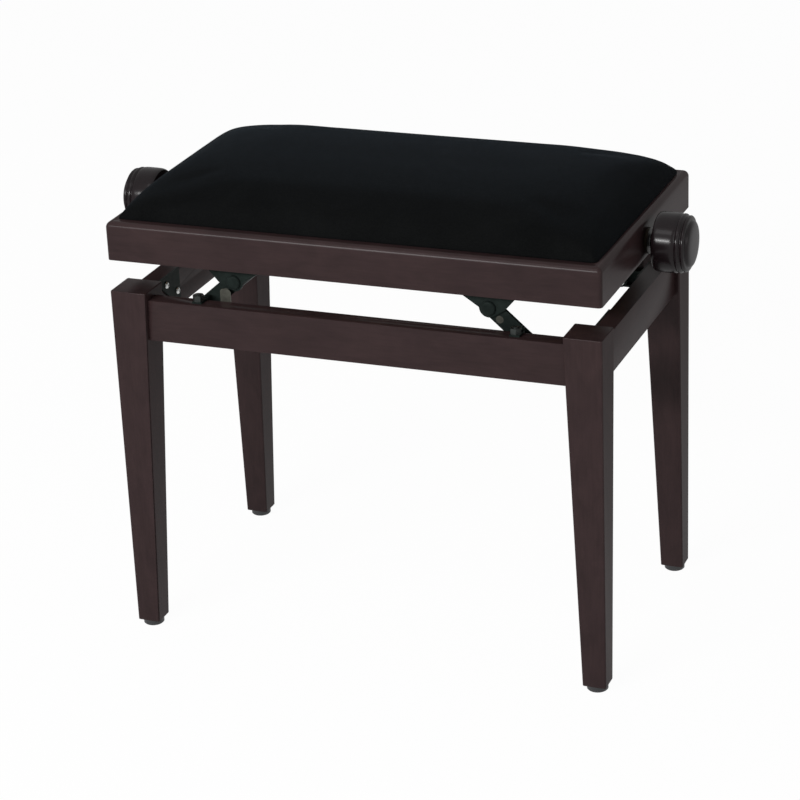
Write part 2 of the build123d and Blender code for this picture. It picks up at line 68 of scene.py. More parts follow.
# Half section of a knob in mm: (height over the foot, radius).
KNOB_NECK = [(0.0, 12.0), (6.7, 12.0), (7.3, 14.0)]
KNOB_BARREL = [(7.5, 28.6), (8.0, 30.2), (9.1, 31.1), (11.5, 31.8), (16.0, 32.0), (29.5, 32.0), (31.1, 31.6),
               (31.9, 30.9)]
KNOB_LARGE_BEAD = [(32.3, 30.4), (32.8, 30.4), (33.3, 31.0), (34.5, 31.5), (35.9, 31.4), (36.9, 30.6),
                   (37.5, 29.6)]
KNOB_SMALL_BEAD = [(38.0, 29.0), (38.6, 28.9), (39.1, 29.4), (40.1, 29.9), (41.3, 29.8), (42.2, 29.0),
                   (42.7, 27.6), (42.8, 25.7)]
KNOB_FACE = [(43.2, 25.0), (44.5, 24.6), (45.8, 23.3), (46.6, 20.6), (47.1, 16.0), (47.3, 7.0)]
KNOB_PROFILE = KNOB_NECK + KNOB_BARREL + KNOB_LARGE_BEAD + KNOB_SMALL_BEAD + KNOB_FACE

# Half section of a pan-head screw in mm: (height, radius), with the crown at 0.
SCREW_PROFILE = [(0, 0.8), (-0.25, 2.2), (-0.9, 3.5), (-1.7, 3.95), (-2.4, 4.0), (-2.4, 2.0), (-16.0, 2.0)]
SCREW_STEPS = 20
CROSS_DEPTH, CROSS_ARM, CROSS_WIDTH = 1.3 * MM, 3.6 * MM, 0.9 * MM
# Screws of one node: (node, body, axis along which the heads look inwards).
SCREWS = (("track_screws", "base", 1), ("stop_lug_screws", "base", 1), ("end_plate_screws", "base", 0),
          ("ear_screws", "seat", 1))

# Spindle, in metres from its middle; each half has a two-start thread.
SHAFT_R, ROOT_R, SPINDLE_STEPS = 5.99 * MM, 5.2 * MM, 24
RELIEF_IN, RELIEF_OUT, RELIEF_SLOPE = 0.076, 0.213, 0.0005  # turned down to the root between the first two
THREAD_FROM, THREAD_LEAD, THREAD_TURNS, THREAD_STEPS = 0.0785, 0.006, 22, 18
THREAD_STARTS = (0.0, math.pi)
# Section of a thread's ridge in mm: (radius, place along the axis).
RIDGE_SECTION = [(5.0, -1.1), (5.99, -0.35), (5.99, 0.35), (5.0, 1.1)]

# Cushion, in metres; heights count from its underside.
CUSHION_FILL = (0.010, 0.005, 0.0018)   # how much longer, deeper and higher it starts than the CAD pad
CUSHION_SKIRT = 0.02                    # carried on below the underside, and cut off again at the end
FREE_FROM, FREE_RISE = 0.003, 0.015     # above this height it may move, and fully so after the rise
HELD_UP_TO = 0.004                      # the cloth is held below this height
CLOTH_FRAMES, CLOTH_QUALITY, CLOTH_PRESSURE = 20, 6, 4.0
EVEN_ROUNDS, CALM_ROUNDS, SMOOTH_SHARE = 12, 22, 0.5

# Studio, in metres and watts: lamps as (name, place, size, power).
LAMP_TARGET = (0, 0, 0.35)
LAMPS = (("key", (-0.95, -3.05, 1.75), (1.8, 0.26), 88),
         ("top", (-0.4, -1.5, 2.6), (1.4, 0.7), 8),
         ("fill", (2.8, -1.0, 1.4), (1.6, 1.2), 8))
SKY_LIGHT, FLOOR_REACH, FLOOR_PAPER, FLOOR_GLOW = 0.25, 15.0, 0.98, 0.97
CAMERA_PLACE = (1.0219, -2.5413, 1.4009)
CAMERA_AZIMUTH, CAMERA_ELEVATION, CAMERA_ROLL = (math.radians(turn) for turn in (22.13, 22.941, 2.451))
CAMERA_LENS, CAMERA_SENSOR, CAMERA_REACH = 120.55, 36.0, 60.0


# ---- shader nodes ----
class Shader:
    """A material under construction, with short ways to add and join its nodes."""

    MIX_INPUTS, MIX_RESULT = (0, 6, 7), 2   # factor and two colours, and the mixed colour

    def __init__(self, name):
        self.material = bpy.data.materials.new(name)
        self.material.use_nodes = True
        self.tree = self.material.node_tree
        self.tree.nodes.clear()
        self.out = self.node("ShaderNodeOutputMaterial")
        self.body = self.node("ShaderNodeBsdfPrincipled")
        self.join(self.body.outputs[0], self.out.inputs["Surface"])

    def node(self, kind, **settings):
        made = self.tree.nodes.new(kind)
        for key, value in settings.items():
            setattr(made, key, value)
        return made

    def join(self, source, target):
        self.tree.links.new(source, target)

    def set(self, **values):
        for key, value in values.items():
            self.body.inputs[key.replace("_", " ")].default_value = value

    def coords(self, scale=(1, 1, 1), place=(0, 0, 0)):
        space = self.node("ShaderNodeTexCoord")
        mapping = self.node("ShaderNodeMapping")
        mapping.inputs["Scale"].default_value = scale
        mapping.inputs["Location"].default_value = place
        self.join(space.outputs["Object"], mapping.inputs["Vector"])
        return mapping.outputs["Vector"]

    def noise(self, where, scale, detail=4.0, rough=0.55, warp=0.0):
        made = self.node("ShaderNodeTexNoise")
        made.inputs["Scale"].default_value = scale
        made.inputs["Detail"].default_value = detail
        made.inputs["Roughness"].default_value = rough
        made.inputs["Distortion"].default_value = warp
        self.join(where, made.inputs["Vector"])
        return made.outputs["Fac"]

    def ramp(self, value, *stops):
        made = self.node("ShaderNodeValToRGB")
        marks = made.color_ramp.elements
        while len(marks) < len(stops):
            marks.new(0.5)
        for mark, (place, colour) in zip(marks, stops):
            mark.position = place
            mark.color = (*colour, 1)
        self.join(value, made.inputs["Fac"])
        return made.outputs["Color"]

    def span(self, value, low, high):
        made = self.node("ShaderNodeMapRange")
        ends = (("From Min", NOISE_LOW), ("From Max", NOISE_HIGH), ("To Min", low), ("To Max", high))
        for key, number in ends:
            made.inputs[key].default_value = number
        self.join(value, made.inputs["Value"])
        return made.outputs["Result"]

    def mix(self, amount, first, second, how="MIX"):
        made = self.node("ShaderNodeMix", data_type="RGBA", blend_type=how)
        factor, one, other = (made.inputs[number] for number in self.MIX_INPUTS)
        factor.default_value = amount
        self.join(first, one)
        self.join(second, other)
        return made.outputs[self.MIX_RESULT]

    def bump(self, height, distance, strength=1.0, under=None):
        made = self.node("ShaderNodeBump")
        made.inputs["Distance"].default_value = distance
        made.inputs["Strength"].default_value = strength
        self.join(height, made.inputs["Height"])
        if under is not None:
            self.join(under, made.inputs["Normal"])
        return made.outputs["Normal"]

    def colour(self, source):
        self.join(source, self.body.inputs["Base Color"])

    def rough(self, source):
        self.join(source, self.body.inputs["Roughness"])

    def normal(self, source):
        self.join(source, self.body.inputs["Normal"])


def shade(colour, factor):
    """A lighter or darker copy of a colour."""
    return tuple(min(1.0, c * factor) for c in colour[:3])


def stained_wood(name, colour, grain):
    """Fine-grained stained wood under satin lacquer; grain names the axis that the fibres follow."""
    s = Shader(name)
    stretch = {"x": (0.07, 1, 1), "y": (1, 0.07, 1), "z": (1, 1, 0.07)}[grain]
    fibre = s.noise(s.coords(stretch), 420.0, 5.0, 0.6, 0.4)
    wide = s.noise(s.coords(tuple(0.35 + 0.65 * share for share in stretch)), 46.0, 3.0, 0.5, 1.2)
    cloud = s.noise(s.coords(place=(0.3, 0.1, 0.2)), 17.0, 2.0, 0.5)
    streaks = s.ramp(fibre, (0.30, shade(colour, 0.78)), (0.55, colour), (0.80, shade(colour, 1.22)))
    figure = s.ramp(wide, (0.34, shade(colour, 0.82)), (0.66, shade(colour, 1.2)))
    mixed = s.mix(0.5, streaks, figure)
    tone = s.ramp(cloud, (0.3, (0.86, 0.86, 0.88)), (0.7, (1.0, 1.0, 1.0)))
    s.colour(s.mix(1.0, mixed, tone, "MULTIPLY"))
    s.rough(s.span(wide, 0.33, 0.46))
    s.normal(s.bump(fibre, 0.00012, 0.5))
    s.set(Coat_Weight=0.22, Coat_Roughness=0.28, Specular_IOR_Level=0.0)
    return s.material


def turned_wood(name, colour):
    """Polished turned wood: rings of fine tool marks round the spindle's axis."""
    s = Shader(name)
    rings = s.noise(s.coords((1, 0.04, 0.04)), 900.0, 2.0, 0.5)
    grain = s.noise(s.coords((0.25, 1, 0.25)), 150.0, 4.0, 0.6, 0.5)
    s.colour(s.ramp(grain, (0.3, shade(colour, 0.75)), (0.7, shade(colour, 1.25))))
    s.rough(s.span(grain, 0.26, 0.36))
    s.normal(s.bump(rings, 0.00003, 0.3))
    s.set(Coat_Weight=0.36, Coat_Roughness=0.21, Specular_IOR_Level=0.0)
    return s.material


def velvet(name, colour):
    """Short dense pile, brushed in soft patches."""
    s = Shader(name)
    patch = s.noise(s.coords(), 12.0, 3.0, 0.55, 0.8)
    fleck = s.noise(s.coords(), 900.0, 2.0, 0.6)
    pile = s.noise(s.coords((1, 0.6, 1)), 1700.0, 2.0, 0.5)
    base = s.ramp(patch, (0.35, shade(colour, 0.75)), (0.65, shade(colour, 1.35)))
    s.colour(s.mix(0.35, base, s.ramp(fleck, (0.35, shade(colour, 0.5)), (0.65, shade(colour, 1.7)))))
    s.rough(s.span(patch, 0.86, 0.98))
    s.normal(s.bump(pile, 0.0006, 0.7, s.bump(patch, 0.002, 0.25)))
    s.set(Specular_IOR_Level=0.02, Sheen_Weight=0.024, Sheen_Roughness=0.4)
    s.body.inputs["Sheen Tint"].default_value = (0.42, 0.62, 0.85, 1)
    return s.material


def metal(name, colour, rough, brush=0.0, metallic=1.0, wear=0.0, shine=0.5):
    """Metal or enamelled sheet with brushing and slight handling marks."""
    s = Shader(name)
    spots = s.noise(s.coords(), 65.0, 4.0, 0.6)
    fine = s.noise(s.coords((1, 1, 0.08)), 1300.0, 3.0, 0.6)
    s.colour(s.ramp(spots, (0.3, shade(colour, 0.84 - wear)), (0.7, shade(colour, 1.12 + wear))))
    s.rough(s.span(spots, rough - 0.05, rough + 0.08))
    s.normal(s.bump(fine, 0.00005 + 0.00015 * brush, 0.4))
    s.set(Metallic=metallic, Specular_IOR_Level=shine)
    return s.material


def plywood(name, colour):
    """Bare birch face with open pores and faint plies."""
    s = Shader(name)
    grain = s.noise(s.coords((0.05, 1, 1)), 260.0, 5.0, 0.65, 1.0)
    wide = s.noise(s.coords((0.2, 1, 1)), 22.0, 3.0, 0.5, 1.5)
    tone = s.ramp(wide, (0.3, shade(colour, 0.82)), (0.7, shade(colour, 1.12)))
    s.colour(s.mix(0.4, tone, s.ramp(grain, (0.35, shade(colour, 0.6)), (0.6, shade(colour, 1.15)))))
    s.set(Roughness=0.68)
    s.normal(s.bump(grain, 0.0002, 0.5))
    return s.material


def plastic(name, colour, rough):
    """Moulded plastic with a fine spark-eroded surface."""
    s = Shader(name)
    grit = s.noise(s.coords(), 1500.0, 2.0, 0.5)
    s.colour(s.ramp(s.noise(s.coords(), 90.0), (0.3, shade(colour, 0.85)), (0.7, shade(colour, 1.2))))
    s.rough(s.span(grit, rough - 0.06, rough + 0.06))
    s.normal(s.bump(grit, 0.00008, 0.4))
    return s.material


# ---- geometry ----
def emit(bm, name, material, body, smooth=True):
    """Turn a finished bmesh, in metres and in place, into a piece that rides on a body."""
    bmesh.ops.remove_doubles(bm, verts=bm.verts, dist=MERGE)
    bmesh.ops.recalc_face_normals(bm, faces=bm.faces)
    mesh = bpy.data.meshes.new(name)
    bm.to_mesh(mesh)
    bm.free()
    obj = bpy.data.objects.new(name, mesh)
    bpy.context.scene.collection.objects.link(obj)
    mesh.materials.append(material)
    for face in mesh.polygons:
        face.use_smooth = smooth
    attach(obj, body)
    return obj


def bevelled_copy(node, material, body, width):
    """The CAD piece with its sharp edges eased, standing for the node."""
    bm = bmesh.new()
    bm.from_mesh(frame["nodes"][node].data)
    bmesh.ops.remove_doubles(bm, verts=bm.verts, dist=MERGE)
    bmesh.ops.dissolve_limit(bm, angle_limit=math.radians(1.0), verts=bm.verts, edges=bm.edges)
    obj = emit(bm, node + "_eased", material, body)
    ease = obj.modifiers.new("ease", "BEVEL")
    ease.width = width
    ease.segments = 3
    ease.limit_method = "ANGLE"
    ease.angle_limit = math.radians(35)
    ease.harden_normals = True
    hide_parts(node)
    return obj


def axis_turn(direction):
    """Rotation that takes +Z to this direction."""
    return Vector((0, 0, 1)).rotation_difference(Vector(direction)).to_matrix().to_4x4()


def spun(profile, steps, place):
    """Closed solid of revolution: profile of (height, radius) along +Z, carried by place."""
    bm = bmesh.new()
    points = [bm.verts.new((radius, 0, height)) for height, radius in profile]
    for a, b in zip(points, points[1:]):
        bm.edges.new((a, b))
    bmesh.ops.spin(bm, geom=bm.verts[:] + bm.edges[:], cent=(0, 0, 0), axis=(0, 0, 1),
                   angle=math.tau, steps=steps, use_merge=True)
    bmesh.ops.holes_fill(bm, edges=[e for e in bm.edges if e.is_boundary], sides=0)
    bmesh.ops.recalc_face_normals(bm, faces=bm.faces)
    bmesh.ops.transform(bm, matrix=place, verts=bm.verts)
    return bm


def absorb(whole, bm):
    """Add a bmesh to another one and free it."""
    piece = bpy.data.meshes.new("piece")
    bm.to_mesh(piece)
    bm.free()
    whole.from_mesh(piece)
    bpy.data.meshes.remove(piece)


def cross_recess(bm, place):
    """Sink a cross into the top of a screw head."""
    head_mesh, cross_mesh = bpy.data.meshes.new("head"), bpy.data.meshes.new("cross")
    bm.to_mesh(head_mesh)
    bm.free()
    cutter = bmesh.new()
    for length, depth in ((CROSS_ARM, CROSS_WIDTH), (CROSS_WIDTH, CROSS_ARM)):
        made = bmesh.ops.create_cube(cutter, size=1.0)["verts"]
        bmesh.ops.scale(cutter, vec=(length, depth, 2 * CROSS_DEPTH), verts=made)
    bmesh.ops.transform(cutter, matrix=place, verts=cutter.verts)
    cutter.to_mesh(cross_mesh)
    cutter.free()
    head, cross = bpy.data.objects.new("head", head_mesh), bpy.data.objects.new("cross", cross_mesh)
    for obj in (head, cross):
        bpy.context.scene.collection.objects.link(obj)
    cut = head.modifiers.new("cut", "BOOLEAN")
    cut.object = cross
    cut.operation = "DIFFERENCE"
    cut.solver = "EXACT"
    cut.use_self = True
    bpy.context.view_layer.update()
    done = bmesh.new()
    done.from_object(head, bpy.context.evaluated_depsgraph_get())
    for obj, mesh in ((head, head_mesh), (cross, cross_mesh)):
        bpy.data.objects.remove(obj)
        bpy.data.meshes.remove(mesh)
    return done


def islands(node):
    """Boxes (low, high) of the separate solids in a CAD node."""
    bm = bmesh.new()
    bm.from_mesh(frame["nodes"][node].data)
    bmesh.ops.remove_doubles(bm, verts=bm.verts, dist=MERGE)
    seen, found = set(), []
    for start in bm.verts:
        if start in seen:
            continue
        stack, part = [start], []
        seen.add(start)
        while stack:
            vert = stack.pop()
            part.append(vert.co.copy())
            for edge in vert.link_edges:
                other = edge.other_vert(vert)
                if other not in seen:
                    seen.add(other)
                    stack.append(other)
        found.append((Vector(map(min, *part)), Vector(map(max, *part))))
    bm.free()
    return found


# ---- settings ----
def tint(name, about, value):
    """A colour that the panel shows."""
    return FloatVectorProperty(name=name, description=about, default=value, size=3, subtype="COLOR",
                               min=0, max=1)


class BenchColours(bpy.types.PropertyGroup):
    """Finishes of the bench."""

    wood: tint("Wood", "Dark red-brown stain of legs and rails", (0.0315, 0.0182, 0.0184))
    knob: tint("Knobs", "Stain of the turned knobs", (0.0075, 0.0045, 0.0053))
    velvet: tint("Velvet", "Black velvet of the cushion", (0.0043, 0.0046, 0.0047))
    enamel: tint("Sheet steel", "Dark enamel of the brackets and arms", (0.0155, 0.0210, 0.0192))
    zinc: tint("Zinc", "Bright plating of screws and pins", (0.50, 0.51, 0.50))
    black: tint("Nuts", "Blackened steel of the nuts and studs", (0.040, 0.045, 0.043))
    worn: tint("Rivets", "Worn steel of the rivets in the arms", (0.10, 0.10, 0.085))
    steel: tint("Spindle steel", "Oiled black steel", (0.10, 0.10, 0.10))
    # The bushes' colour is bronze darkened far below its own tone. The extra darkness is painted shade for
    # the shadow round the knobs' necks beside the seat rails.
    bronze_and_shade: tint("Bushes", "Shade-darkened bronze of the bushes", (0.015, 0.012, 0.009))
    board: tint("Seat board", "Bare plywood under the seat", (0.42, 0.29, 0.17))
    glide: tint("Glides", "Black plastic under the legs", (0.012, 0.012, 0.013))


class BenchSizes(bpy.types.PropertyGroup):
    """Sizes of the pieces that are modelled here."""

    leg_ease: FloatProperty(name="Leg edges", description="Rounding of the legs' edges",
                            default=0.0012, unit="LENGTH")
    rail_ease: FloatProperty(name="Rail edges", description="Rounding of the rails' edges",
                             default=0.0008, unit="LENGTH")
    cushion_voxel: FloatProperty(name="Cushion mesh", description="Mesh size of the cushion",
                                 default=0.004, unit="LENGTH")
    cushion_swell: FloatProperty(name="Cushion swell", description="Most that the swelling moves a point",
                                 default=0.002, unit="LENGTH")
    knob_steps: IntProperty(name="Knob steps", description="Steps round a knob", default=40)


LOOK = {}


def finishes():
    """Every material, made once."""
    c = bpy.context.scene.bench_colours
    if not LOOK:
        for grain in "xyz":
            LOOK["wood_" + grain] = stained_wood("wood_" + grain, c.wood, grain)
        LOOK["knob"] = turned_wood("polished_wood", c.knob)
        LOOK["velvet"] = velvet("black_velvet", c.velvet)
        LOOK["enamel"] = metal("dark_enamel", c.enamel, 0.36, metallic=0.05, wear=0.12, shine=0.01)
        LOOK["zinc"] = metal("bright_zinc", c.zinc, 0.26)
        LOOK["black"] = metal("blackened_steel", c.black, 0.3, metallic=0.7, wear=0.1, shine=0.2)
        LOOK["worn"] = metal("worn_steel", c.worn, 0.45, wear=0.2)
        LOOK["steel"] = metal("drawn_steel", c.steel, 0.3, brush=1.0)
        # The bush finish carries painted shade: its colour is darkened to stand for the shadow round the
        # knobs' necks.
        LOOK["bronze_and_shade"] = metal("bronze_painted_shade", c.bronze_and_shade, 0.42)
        LOOK["plywood"] = plywood("bare_plywood", c.board)
        LOOK["plastic"] = plastic("moulded_plastic", c.glide, 0.5)
    return LOOK


# ---- pieces ----
FINISH_OF_SLOT = {"dark_wood": "wood_x", "knob_wood": "knob", "seat_board_wood": "plywood",
                  "velvet": "velvet", "dark_steel": "enamel", "zinc_steel": "zinc",
                  "spindle_steel": "steel", "bush_brass": "bronze_and_shade", "glide_plastic": "plastic"}
FINISH_OF_NODE = {"track_nuts": "black", "track_studs": "black", "stop_lugs": "worn",
                  "arm_rivets_left": "worn", "arm_rivets_right": "worn"}


class BENCH_OT_finishes(bpy.types.Operator):
    """Give every CAD piece its finish"""
    bl_idname = "bench.finishes"
    bl_label = "Finishes"

    def execute(self, context):
        look = finishes()
        for part in frame["record"]["subparts"]:
            node, slot = part["node"], part["material_slot"]
            materials = frame["nodes"][node].data.materials
            materials.clear()
            materials.append(look[FINISH_OF_NODE.get(node, FINISH_OF_SLOT[slot])])
        return {"FINISHED"}


class BENCH_OT_wood_frame(bpy.types.Operator):
    """Legs and rails with eased edges and grain along their length"""
    bl_idname = "bench.wood_frame"
    bl_label = "Legs and rails"

    def execute(self, context):
        look = finishes()
        sizes = context.scene.bench_sizes
        for end in ("front", "rear"):
            for side in ("left", "right"):
                bevelled_copy(f"leg_{end}_{side}", look["wood_z"], "base", sizes.leg_ease)
        for rail, grain in (("front", "x"), ("rear", "x"), ("left", "y"), ("right", "y")):
            wood = look["wood_" + grain]
            bevelled_copy(f"base_rail_{rail}", wood, "base", sizes.rail_ease)
            bevelled_copy(f"seat_rail_{rail}", wood, "seat", sizes.rail_ease / 2)
        return {"FINISHED"}


class BENCH_OT_knobs(bpy.types.Operator):
    """Turned knobs with their beads and grooves"""
    bl_idname = "bench.knobs"
    bl_label = "Knobs"

    def execute(self, context):
        look = finishes()
        steps = context.scene.bench_sizes.knob_steps
        for side, way in (("left", -1), ("right", 1)):
            place = Matrix.Translation((way * KNOB_FOOT, 0, SPINDLE_Z)) @ axis_turn((way, 0, 0))
            bm = spun([(height * MM, radius * MM) for height, radius in KNOB_PROFILE], steps, place)
            knob = emit(bm, f"knob_turned_{side}", look["knob"], "spindle")
            smooth = knob.modifiers.new("smooth", "SUBSURF")
            smooth.levels = smooth.render_levels = 1
            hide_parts(f"knob_{side}")
        return {"FINISHED"}


class BENCH_OT_cushion(bpy.types.Operator):
    """Crowned velvet cushion, swollen over its board"""
    bl_idname = "bench.cushion"
    bl_label = "Cushion"

    def start_shape(self):
        """The CAD pad, filled out a little, carried on down below its underside."""
        low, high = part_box("cushion")
        floor = low[2]
        size, mid = Vector(high) - Vector(low), (Vector(high) + Vector(low)) / 2
        bm = bmesh.new()
        bm.from_mesh(frame["nodes"]["cushion"].data)
        bmesh.ops.remove_doubles(bm, verts=bm.verts, dist=MERGE)
        bmesh.ops.translate(bm, vec=(-mid.x, -mid.y, -floor), verts=bm.verts)
        growth = [(side + more) / side for side, more in zip(size, CUSHION_FILL)]
        bmesh.ops.scale(bm, vec=growth, verts=bm.verts)
        bmesh.ops.translate(bm, vec=(mid.x, mid.y, floor), verts=bm.verts)
        near_floor = floor + 0.1 * MM
        under = [f for f in bm.faces if f.normal.z < -0.9 and f.calc_center_median().z < near_floor]
        made = bmesh.ops.extrude_face_region(bm, geom=under)["geom"]
        bmesh.ops.delete(bm, geom=under, context="FACES_ONLY")
        lowered = [g for g in made if isinstance(g, bmesh.types.BMVert)]
        bmesh.ops.translate(bm, vec=(0, 0, -CUSHION_SKIRT), verts=lowered)
        return bm, floor

    def mark_free(self, pad, floor):
        """Weigh the points by how far they may move: not at all at the foot, fully above it."""
        free = pad.vertex_groups.new(name="free")
        for vert in pad.data.vertices:
            rise = (vert.co.z - floor - FREE_FROM) / FREE_RISE
            if rise > 0:
                free.add([vert.index], min(rise, 1.0), "REPLACE")

    def smooth_free(self, pad, rounds):
        """Even out the surface where it may move."""
        even = pad.modifiers.new("even", "SMOOTH")
        even.factor, even.iterations = SMOOTH_SHARE, rounds
        even.vertex_group = "free"
        bpy.ops.object.modifier_apply(modifier=even.name)

    def swell(self, context, pad, floor):
        """Let the cloth swell under air pressure, with its foot held."""
        held = pad.vertex_groups.new(name="held")
        foot = [vert.index for vert in pad.data.vertices if vert.co.z < floor + HELD_UP_TO]
        held.add(foot, 1.0, "REPLACE")
        cloth = pad.modifiers.new("cloth", "CLOTH")
        cloth.settings.quality = CLOTH_QUALITY
        cloth.settings.use_pressure = True
        cloth.settings.uniform_pressure_force = CLOTH_PRESSURE
        cloth.settings.vertex_group_mass = "held"
        cloth.settings.effector_weights.gravity = 0.0
        for number in range(1, CLOTH_FRAMES + 1):
            context.scene.frame_set(number)
        bpy.ops.object.modifier_apply(modifier=cloth.name)
        context.scene.frame_set(1)

    def trim(self, pad, floor):
        """Cut off what lies below the underside and close the cut."""
        bm = bmesh.new()
        bm.from_mesh(pad.data)
        everything = bm.verts[:] + bm.edges[:] + bm.faces[:]
        cut = bmesh.ops.bisect_plane(bm, geom=everything, dist=MERGE, plane_co=(0, 0, floor),
                                     plane_no=(0, 0, 1), clear_inner=True)["geom_cut"]
        bmesh.ops.holes_fill(bm, edges=[g for g in cut if isinstance(g, bmesh.types.BMEdge)], sides=0)
        bmesh.ops.recalc_face_normals(bm, faces=bm.faces)
        for face in bm.faces:
            face.smooth = face.normal.z > -0.99
        bm.to_mesh(pad.data)
        bm.free()

    def execute(self, context):
        sizes = context.scene.bench_sizes
        bm, floor = self.start_shape()
        mesh = bpy.data.meshes.new("cushion_velvet")
        bm.to_mesh(mesh)
        bm.free()
        pad = bpy.data.objects.new("cushion_velvet", mesh)
        context.scene.collection.objects.link(pad)
        context.view_layer.objects.active = pad
        shape = pad.modifiers.new("mesh", "REMESH")
        shape.mode = "VOXEL"
        shape.voxel_size = sizes.cushion_voxel
        bpy.ops.object.modifier_apply(modifier=shape.name)
        self.mark_free(pad, floor)
        self.smooth_free(pad, EVEN_ROUNDS)
        rest = [vert.co.copy() for vert in pad.data.vertices]
        self.swell(context, pad, floor)
        most = sizes.cushion_swell
        for vert, start in zip(pad.data.vertices, rest):
            move = vert.co - start
            if move.length > most:
                vert.co = start + move.normalized() * most
        self.smooth_free(pad, CALM_ROUNDS)
        pad.vertex_groups.clear()
        fine = pad.modifiers.new("fine", "SUBSURF")
        fine.levels = fine.render_levels = 1
        bpy.ops.object.modifier_apply(modifier=fine.name)
        self.trim(pad, floor)
        pad.data.materials.append(finishes()["velvet"])
        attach(pad, "seat")
        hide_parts("cushion")
        return {"FINISHED"}


class BENCH_OT_fixings(bpy.types.Operator):
    """Pan-head screws with a cross recess and the threaded spindle"""
    bl_idname = "bench.fixings"
    bl_label = "Screws and spindle"

    def screw(self, low, high, axis):
        """One screw in the box from low to high, its head looking inwards along the axis."""
        mid = (low + high) / 2
        out = Vector((0, 0, 0))
        out[axis] = -math.copysign(1, mid[axis])
        head = mid.copy()
        head[axis] = low[axis] if out[axis] < 0 else high[axis]
        place = Matrix.Translation(head) @ axis_turn(out)
        bm = spun([(height * MM, radius * MM) for height, radius in SCREW_PROFILE], SCREW_STEPS, place)
        return cross_recess(bm, place)

    def thread(self, way, start, place):
        """One ridge of a two-start thread; way is 1 for the right half and -1 for the left."""
        ridge = bmesh.new()
        points = [ridge.verts.new((radius * MM, 0, along * MM)) for radius, along in RIDGE_SECTION]
        for a, b in zip(points, points[1:]):
            ridge.edges.new((a, b))
        bmesh.ops.spin(ridge, geom=ridge.verts[:] + ridge.edges[:], cent=(0, 0, 0), axis=(0, 0, 1),
                       dvec=(0, 0, THREAD_LEAD / THREAD_STEPS), angle=math.tau * THREAD_TURNS,
                       steps=THREAD_STEPS * THREAD_TURNS)
        bmesh.ops.recalc_face_normals(ridge, faces=ridge.faces)
        bmesh.ops.rotate(ridge, matrix=Matrix.Rotation(start, 3, "Z"), verts=ridge.verts)
        bmesh.ops.translate(ridge, vec=(0, 0, THREAD_FROM), verts=ridge.verts)
        if way < 0:
            bmesh.ops.scale(ridge, vec=(1, 1, -1), verts=ridge.verts)
        bmesh.ops.transform(ridge, matrix=place, verts=ridge.verts)
        return ridge

    def spindle(self, look):
        """Core rod with a right-hand and a left-hand two-start thread under the traverses."""
        place = Matrix.Translation((0, 0, SPINDLE_Z)) @ axis_turn((1, 0, 0))
        half = [(RELIEF_IN - RELIEF_SLOPE, SHAFT_R), (RELIEF_IN + RELIEF_SLOPE, ROOT_R),
                (RELIEF_OUT - RELIEF_SLOPE, ROOT_R), (RELIEF_OUT + RELIEF_SLOPE, SHAFT_R),
                (SPINDLE_HIGH[0], SHAFT_R)]
        whole = spun([(-along, radius) for along, radius in reversed(half)] + half, SPINDLE_STEPS, place)
        for way in (-1, 1):
            for start in THREAD_STARTS:
                absorb(whole, self.thread(way, start, place))
        rod = emit(whole, "spindle_threaded", look["steel"], "spindle", smooth=False)
        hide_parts("spindle")

    def execute(self, context):
        look = finishes()
        for node, body, axis in SCREWS:
            whole = bmesh.new()
            for low, high in islands(node):
                absorb(whole, self.screw(low, high, axis))
            screws = emit(whole, node + "_cross", look["zinc"], body, smooth=False)
            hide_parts(node)
        self.spindle(look)
        return {"FINISHED"}


